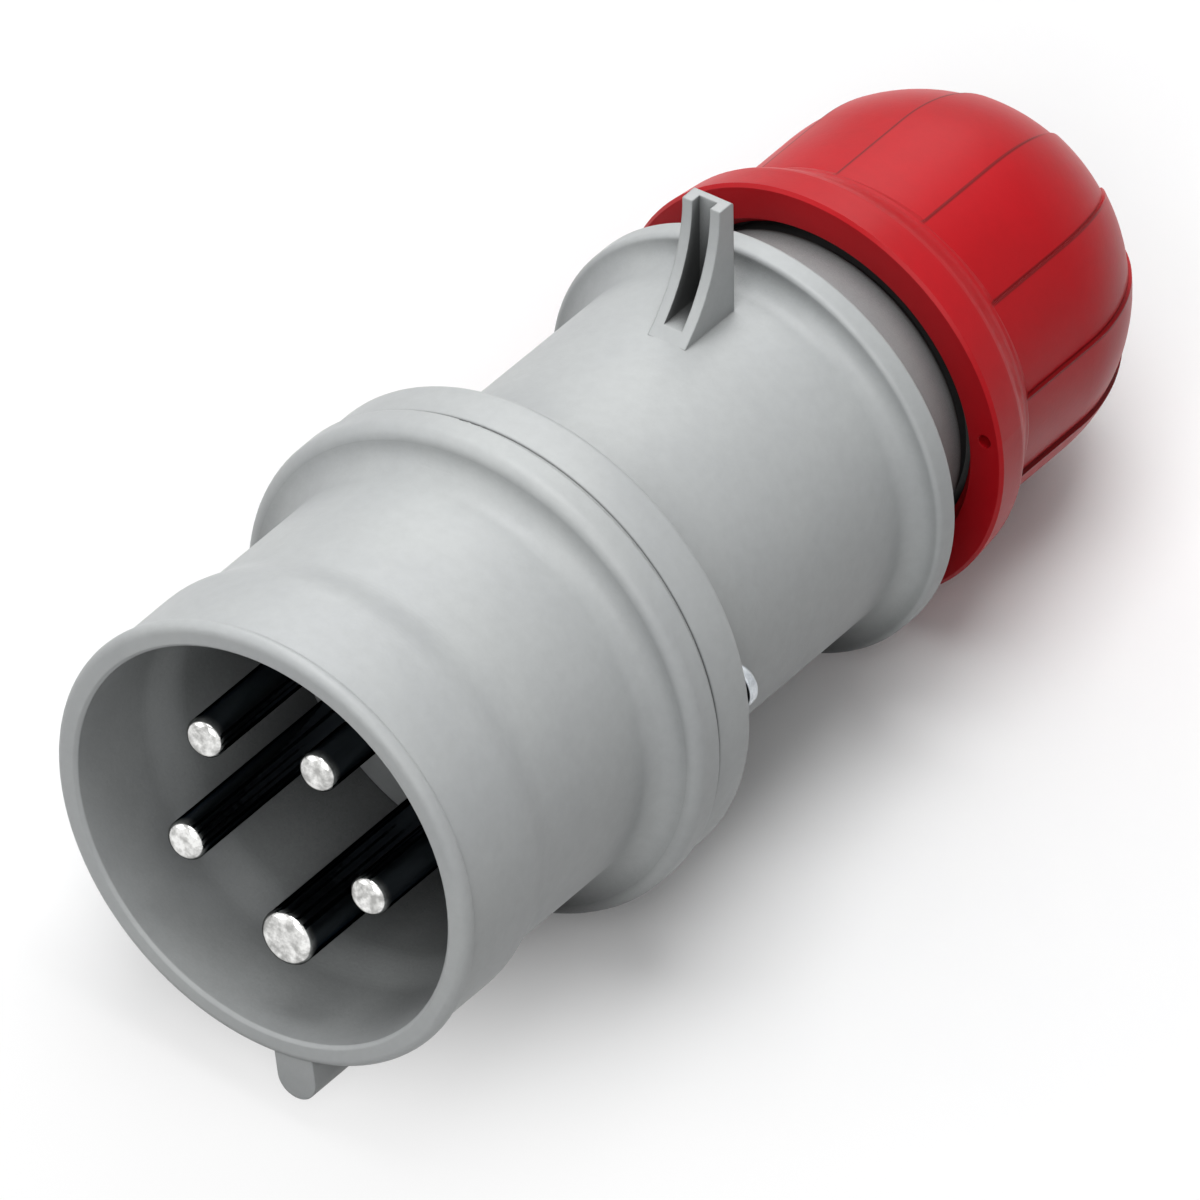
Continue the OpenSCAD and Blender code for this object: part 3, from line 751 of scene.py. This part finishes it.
@dataclass
class Housing:
    """Flange, barrel, rim, threaded neck, cord fork and the two screws, in millimetres.

    Attributes:
        plug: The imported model.
        flange_r: Radius of the flange's rear half.
        joint_r: Radius at the bottom of the shadow groove at the joint.
        seam_w: Width of that groove.
        seam_round: Radius of the edge beside it.
        flange_t: Thickness of the flange's rear half.
        flange_round: Radius of its rear edge.
        barrel_r: Radius of the barrel behind the flange.
        barrel_end_r: Radius of the barrel in front of the rim.
        barrel_fillet: Radius between the barrel and the flange.
        rim_r: Radius of the rear rim.
        rim_len: Length of the rear rim.
        rim_cove: Radius of the cove in front of the rim.
        rim_round: Radius of the rim's edges.
        neck_r: Radius of the neck and of the thread's crest.
        neck_len: Length of the neck behind the rim.
        thread_root_r: Radius of the thread's root.
        thread_lead: Length of plain neck in front of the thread.
        thread_slope: Length of the slope from the plain neck down to the root.
        thread_pitch: Pitch of the thread.
        thread_foot: Half of the ridge's width at its foot, as a share of the pitch.
        thread_crest: Half of its width at the crest, as a share of the pitch.
        thread_sink: How far the ridge's foot runs into the neck.
        chamber_r: Radius of the wiring chamber.
        wall: Thickness of the wall at the chamber's end.
        pocket_r: Radius of the pocket for the cord grip.
        pocket_len: Length of that pocket.
        throat_r: Radius between the chamber and the pocket.
    """

    plug: Plug
    flange_r: float = 31.15
    joint_r: float = 30.9
    seam_w: float = 0.6
    seam_round: float = 0.3
    flange_t: float = 7.0
    flange_round: float = 1.2
    barrel_r: float = 23.7
    barrel_end_r: float = 23.5
    barrel_fillet: float = 1.0
    rim_r: float = 27.25
    rim_len: float = 3.2
    rim_cove: float = 2.9
    rim_round: float = 0.65
    neck_r: float = 20.6
    neck_len: float = 19.5
    thread_root_r: float = 19.7
    thread_lead: float = 11.0
    thread_slope: float = 1.0
    thread_pitch: float = 3.0
    thread_foot: float = 0.36
    thread_crest: float = 0.14
    thread_sink: float = 0.4
    chamber_r: float = 21.2
    wall: float = 2.3
    pocket_r: float = 18.2
    pocket_len: float = 11.0
    throat_r: float = 16.6

    def __post_init__(self) -> None:
        """Works the depths of the main steps out from where the solid housing lies."""
        low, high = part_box("housing")
        self.front = low[1] / MM
        self.back = high[1] / MM
        self.flange_back = self.front + self.flange_t
        self.rim_back = self.back - self.neck_len
        self.rim_front = self.rim_back - self.rim_len

    def build(self) -> None:
        """Builds the housing in place of its plain solid, with its thread and screws."""
        shell = piece_from("housing_shell", revolved(self.outline()), smooth_deg=50.0)
        CordFork(self).join_to(shell)
        self.plug.place(shell, GREY, "plug")
        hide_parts("housing")
        self.plug.place(piece_from("neck_thread", self.thread()), GREY, "plug")
        for side, clock in (("right", 91.0), ("left", 271.0)):
            PanHeadScrew(self.plug, f"housing_screw_{side}", clock, self.flange_back).build()

    def outline(self) -> list[tuple[float, float]]:
        """Draws half of the housing's section.

        Returns:
            Radius and depth of the closed outline's points.
        """
        seam_back = self.front + self.seam_w
        soft = self.seam_round
        edge = self.flange_round
        fillet = self.barrel_fillet
        cove = self.rim_cove
        bead = self.rim_round
        thread_front = self.rim_back + self.thread_lead
        chamber_back = self.rim_back - self.wall
        pocket_front = self.back - self.pocket_len
        return [
            (self.chamber_r, self.front), (self.joint_r, self.front), (self.joint_r, seam_back),
            *arc((self.flange_r - soft, seam_back + soft), soft, -90, 0, 3),
            *arc((self.flange_r - edge, self.flange_back - edge), edge, 0, 90),
            *arc((self.barrel_r + fillet, self.flange_back + fillet), fillet, -90, -180),
            *arc((self.barrel_end_r + cove, self.rim_front - cove), cove, 180, 90, 12),
            *arc((self.rim_r - bead, self.rim_front + bead), bead, -90, 0),
            *arc((self.rim_r - bead, self.rim_back - bead), bead, 0, 90),
            (self.neck_r, self.rim_back), (self.neck_r, thread_front - self.thread_slope),
            (self.thread_root_r, thread_front), (self.thread_root_r, self.back),
            (self.pocket_r, self.back), (self.pocket_r, pocket_front),
            (self.throat_r, pocket_front), (self.throat_r, chamber_back),
            (self.chamber_r, chamber_back)]

    def thread(self, steps: int = 96) -> bmesh.types.BMesh:
        """Winds the thread's ridge round the neck, fading in at both ends.

        Args:
            steps: Facets to a turn.

        Returns:
            The ridge as a closed bmesh.
        """
        length = self.neck_len - self.thread_lead - self.thread_pitch
        count = int(steps * length / self.thread_pitch)
        start = self.rim_back + self.thread_lead + self.thread_pitch / 2
        foot = self.thread_foot * self.thread_pitch
        crest = self.thread_crest * self.thread_pitch
        inner = self.thread_root_r - self.thread_sink
        lowest = inner + self.thread_sink / 2
        fade_steps = steps / 6
        mesh = bmesh.new()
        rings = []
        for i in range(count + 1):
            a = math.tau * i / steps
            middle = start + self.thread_pitch * i / steps
            fade = min(1.0, i / fade_steps, (count - i) / fade_steps)
            top = lowest + (self.neck_r - lowest) * fade
            rings.append([
                mesh.verts.new((r * math.sin(a) * MM, y * MM, r * math.cos(a) * MM))
                for r, y in ((inner, middle - foot), (top, middle - crest),
                             (top, middle + crest), (inner, middle + foot))])
        for one, two in zip(rings, rings[1:]):
            for j in range(4):
                k = (j + 1) % 4
                mesh.faces.new((one[j], one[k], two[k], two[j]))
        mesh.faces.new(rings[0])
        mesh.faces.new(rings[-1])
        return mesh


@dataclass
class CordFork:
    """Two upright fins in front of the rear rim, joined by a web at the back, in millimetres.

    Attributes:
        housing: The housing that carries them.
        width: Width over both fins.
        slot: Width of the slot between them.
        reach: Distance from the axis to their top.
        flat: Length of the flat on top.
        top_round: Radius of the top's rear edge.
        run: Length of the hollow front edge.
        web: Thickness of the web.
        floor: Height of the slot's floor over the barrel.
        setback: Distance from the rim's front to the back of the fins.
        clock: Where they stand round the axis, seen facing the mouth.
        sink: How far they run into the barrel.
    """

    housing: Housing
    width: float = 5.2
    slot: float = 2.5
    reach: float = 38.6
    flat: float = 2.6
    top_round: float = 0.5
    run: float = 6.8
    web: float = 1.2
    floor: float = 1.2
    setback: float = 5.4
    clock: float = 7.8
    sink: float = 1.0

    def join_to(self, shell: bpy.types.Object) -> None:
        """Joins the fins to the housing's shell.

        Args:
            shell: The shell, which the fins become part of.
        """
        base = self.housing.barrel_end_r
        back = self.housing.rim_front - self.setback
        top_front = back - self.flat
        front = top_front - self.run
        rise = self.reach - base
        bow = (rise * rise + self.run * self.run) / (2 * self.run)
        foot_deg = -math.degrees(math.asin(rise / bow))
        stand = Matrix.Rotation(math.radians(self.clock - self.housing.plug.roll_deg), 4, "Y")
        fins = prism([
            (front, base - self.sink), *arc((top_front - bow, self.reach), bow, foot_deg, 0, 14),
            *arc((back - self.top_round, self.reach - self.top_round), self.top_round, 90, 0, 4),
            (back, base - self.sink)], self.width)
        gap = prism([
            (front - SPARE, base + self.floor), (back - self.web, base + self.floor),
            (back - self.web, self.reach + SPARE), (front - SPARE, self.reach + SPARE)], self.slot)
        for mesh in (fins, gap):
            mesh.transform(stand)
        combine(shell, piece_from("fork_fins", fins), "UNION")
        combine(shell, piece_from("fork_slot", gap), "DIFFERENCE", smooth_deg=38.0)


@dataclass
class PanHeadScrew:
    """Screw with a domed, cross-recessed head behind the flange, in millimetres.

    Attributes:
        plug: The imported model.
        node: The CAD node that it stands for.
        clock: Where it stands round the axis, seen facing the mouth.
        seat: Depth of the face under its head.
        axis_r: Its distance from the plug's axis.
        head_r: Radius of the head.
        head_h: Height of the head.
        head_side: Share of that height that the dome starts at.
        foot_edge: Size of the bevel under the head.
        shank_r: Radius of the shank.
        shank_len: Length of the shank.
        recess_w: Width of each arm of the recess.
        recess_len: Length of each arm at its floor.
        recess_flare: How much further each end of an arm reaches above the head.
        recess_depth: Depth of the recess.
        recess_turn: How far the cross stands turned about the screw's axis, in degrees.
    """

    plug: Plug
    node: str
    clock: float
    seat: float
    axis_r: float = 28.3
    head_r: float = 2.8
    head_h: float = 2.3
    head_side: float = 0.45
    foot_edge: float = 0.2
    shank_r: float = 1.6
    shank_len: float = 9.0
    recess_w: float = 0.75
    recess_len: float = 3.1
    recess_flare: float = 0.3
    recess_depth: float = 1.3
    recess_turn: float = 20.0

    def build(self) -> None:
        """Builds the screw in place of its plain solid."""
        screw = piece_from(f"{self.node}_head", revolved(self.outline(), steps=64))
        floor = self.head_h - self.recess_depth
        above = self.head_h + SPARE
        half = self.recess_len / 2
        flared = half + self.recess_flare
        for turn in (self.recess_turn, self.recess_turn + 90.0):
            arm = prism([(floor, -half), (above, -flared), (above, flared), (floor, half)], self.recess_w)
            arm.transform(Matrix.Rotation(math.radians(turn), 4, "Y"))
            combine(screw, piece_from("recess_arm", arm), "DIFFERENCE")
        a = math.radians(self.clock - self.plug.roll_deg)
        spot = Vector((self.axis_r * math.sin(a), self.seat, self.axis_r * math.cos(a))) * MM
        screw.data.transform(Matrix.Translation(spot))
        self.plug.place(screw, ZINC, "plug")
        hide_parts(self.node)

    def outline(self, dome_steps: int = 10) -> list[tuple[float, float]]:
        """Draws half of the screw's section, with the face under the head at zero.

        Args:
            dome_steps: Number of the dome's straight stretches.

        Returns:
            Radius and depth of the closed outline's points.
        """
        side = self.head_side
        dome = [
            (self.head_r * math.cos(t), self.head_h * (side + (1 - side) * math.sin(t)))
            for t in (math.pi / 2 * i / dome_steps for i in range(dome_steps))]
        return [
            (NEAR_AXIS, -self.shank_len), (self.shank_r, -self.shank_len), (self.shank_r, 0),
            (self.head_r - self.foot_edge, 0), (self.head_r, self.foot_edge), *dome,
            (NEAR_AXIS, self.head_h)]


@dataclass
class Gland:
    """Rubber grommet, cord grip and pressure ring behind the neck."""

    plug: Plug

    def build(self) -> None:
        """Dresses the gland."""
        self.plug.dress(RUBBER, "grommet")
        self.plug.dress(DARK, "cord_grip", "pressure_ring")


@dataclass
class ScrewCap:
    """The red cap with its stepped grip panels."""

    plug: Plug

    def build(self) -> None:
        """Dresses the cap."""
        self.plug.dress(RED, "cap")


@dataclass
class Studio:
    """Floor, lamps, world and camera.

    Attributes:
        plug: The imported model.
        floor_half: Half of the floor's side.
        lamp_side: Side of each square lamp.
        lamp_aim: The point on the plug's axis that the lamps face.
        room_light: Strength of the room's even light.
        sensor_mm: Width of the camera's sensor, in millimetres.
        clip: Nearest and farthest distance that the camera sees.
        distance: Camera's distance from the point that it looks at.
        view_width: Width of the view at that point.
        back: Direction from that point to the camera.
        right: Direction of the view's right side.
        target: The point that the camera looks at.
    """

    plug: Plug
    floor_half: float = 3.0
    lamp_side: float = 0.6
    lamp_aim: tuple[float, float, float] = (0.0, 0.07, 0.0)
    room_light: float = 0.02
    sensor_mm: float = 36.0
    clip: tuple[float, float] = (0.05, 20.0)
    distance: float = 5.5
    view_width: float = 0.1342
    back: tuple[float, float, float] = (0.39452, -0.64332, 0.65611)
    right: tuple[float, float, float] = (0.80287, 0.58863, 0.09439)
    target: tuple[float, float, float] = (0.01818, 0.03581, 0.02442)

    def build(self) -> None:
        """Builds the studio."""
        self.floor()
        self.lamp("overhead_softbox", (-0.05, 0.05, 0.9), 5.4)
        self.lamp("rear_softbox", (-0.35, 0.55, 0.65), 2.6)
        self.lamp("side_softbox", (-0.65, -0.5, 0.35), 1.7)
        self.lamp("front_softbox", (0.30, -0.62, 0.55), 3.6)
        self.world()
        self.camera()

    def floor(self) -> None:
        """Lays the board under the two places on which the plug rests."""
        (front_y, front_z), (rear_y, rear_z) = self.resting_places()
        slope = math.atan2(rear_z - front_z, rear_y - front_y)
        LOG.info("rests at y %.4f and %.4f, slope %.2f deg", front_y, rear_y, math.degrees(slope))
        mesh = bmesh.new()
        bmesh.ops.create_grid(mesh, x_segments=2, y_segments=2, size=self.floor_half)
        board = piece_from("studio_board", mesh)
        tilt = Matrix.Rotation(slope, 4, "X")
        board.matrix_world = Matrix.Translation((0, front_y, front_z)) @ tilt
        BOARD.put_on(board)

    def resting_places(self) -> tuple[tuple[float, float], tuple[float, float]]:
        """Finds where the plug touches a flat board, seen from its side.

        Returns:
            Depth and height of the front place and of the rear place.
        """
        outer = (self.plug.nodes[name].data for name in ("front_shroud", "housing", "cap"))
        points = sorted({
            (round(v.co.y, 5), round(v.co.z, 5)) for mesh in outer for v in mesh.vertices})
        hull: list[tuple[float, float]] = []
        for y, z in points:
            while len(hull) > 1:
                (ya, za), (yb, zb) = hull[-2:]
                if (yb - ya) * (z - za) - (zb - za) * (y - ya) > 0:
                    break
                hull.pop()
            hull.append((y, z))
        middle = (points[0][0] + points[-1][0]) / 2
        rear = next(i for i, (y, _) in enumerate(hull) if y > middle)
        return hull[rear - 1], hull[rear]

    def lamp(self, name: str, place: tuple[float, float, float], watts: float) -> None:
        """Hangs a soft box that faces the plug's middle.

        Args:
            name: The lamp's name.
            place: Where it hangs.
            watts: Its power.
        """
        data = bpy.data.lights.new(name, "AREA")
        data.shape = "SQUARE"
        data.size = self.lamp_side
        data.energy = watts
        obj = bpy.data.objects.new(name, data)
        bpy.context.scene.collection.objects.link(obj)
        aim = Vector(self.lamp_aim) - Vector(place)
        obj.location = place
        obj.rotation_euler = aim.to_track_quat("-Z", "Y").to_euler()

    def world(self) -> None:
        """Sets the room's even light, and plain white where the camera sees past the board."""
        world = bpy.data.worlds.new("studio_room")
        world.use_nodes = True
        tree = world.node_tree
        tree.nodes.clear()
        room = add_node(tree, "ShaderNodeBackground", inputs={
            "Color": linear("#FFFFFF"), "Strength": self.room_light})
        white = add_node(tree, "ShaderNodeBackground", inputs={
            "Color": linear("#FFFFFF"), "Strength": 1.0})
        both = add_node(tree, "ShaderNodeMixShader", inputs={
            0: seen_by_eye(tree), 1: room.outputs["Background"], 2: white.outputs["Background"]})
        add_node(tree, "ShaderNodeOutputWorld", inputs={"Surface": both.outputs["Shader"]})
        bpy.context.scene.world = world

    def camera(self) -> None:
        """Sets the camera up."""
        back = Vector(self.back).normalized()
        right = Vector(self.right)
        right = (right - back * right.dot(back)).normalized()
        up = back.cross(right)
        data = bpy.data.cameras.new("studio_camera")
        data.sensor_width = self.sensor_mm
        data.lens = self.sensor_mm * self.distance / self.view_width
        data.clip_start = self.clip[0]
        data.clip_end = self.clip[1]
        obj = bpy.data.objects.new("studio_camera", data)
        bpy.context.scene.collection.objects.link(obj)
        turn = Matrix((right, up, back)).transposed().to_4x4()
        place = Vector(self.target) + back * self.distance
        obj.matrix_world = Matrix.Translation(place) @ turn
        bpy.context.scene.camera = obj


def main() -> None:
    """Builds the sub-assemblies and the studio, in order."""
    logging.basicConfig(level=logging.INFO, format="%(name)s %(message)s")
    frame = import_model()
    plug = Plug(frame["nodes"])
    for part in (Sleeve(plug), ContactSet(plug), Housing(plug), Gland(plug), ScrewCap(plug)):
        part.build()
    Studio(plug).build()
    bpy.context.scene.view_settings.view_transform = "Standard"


if __name__ == "__main__":
    main()
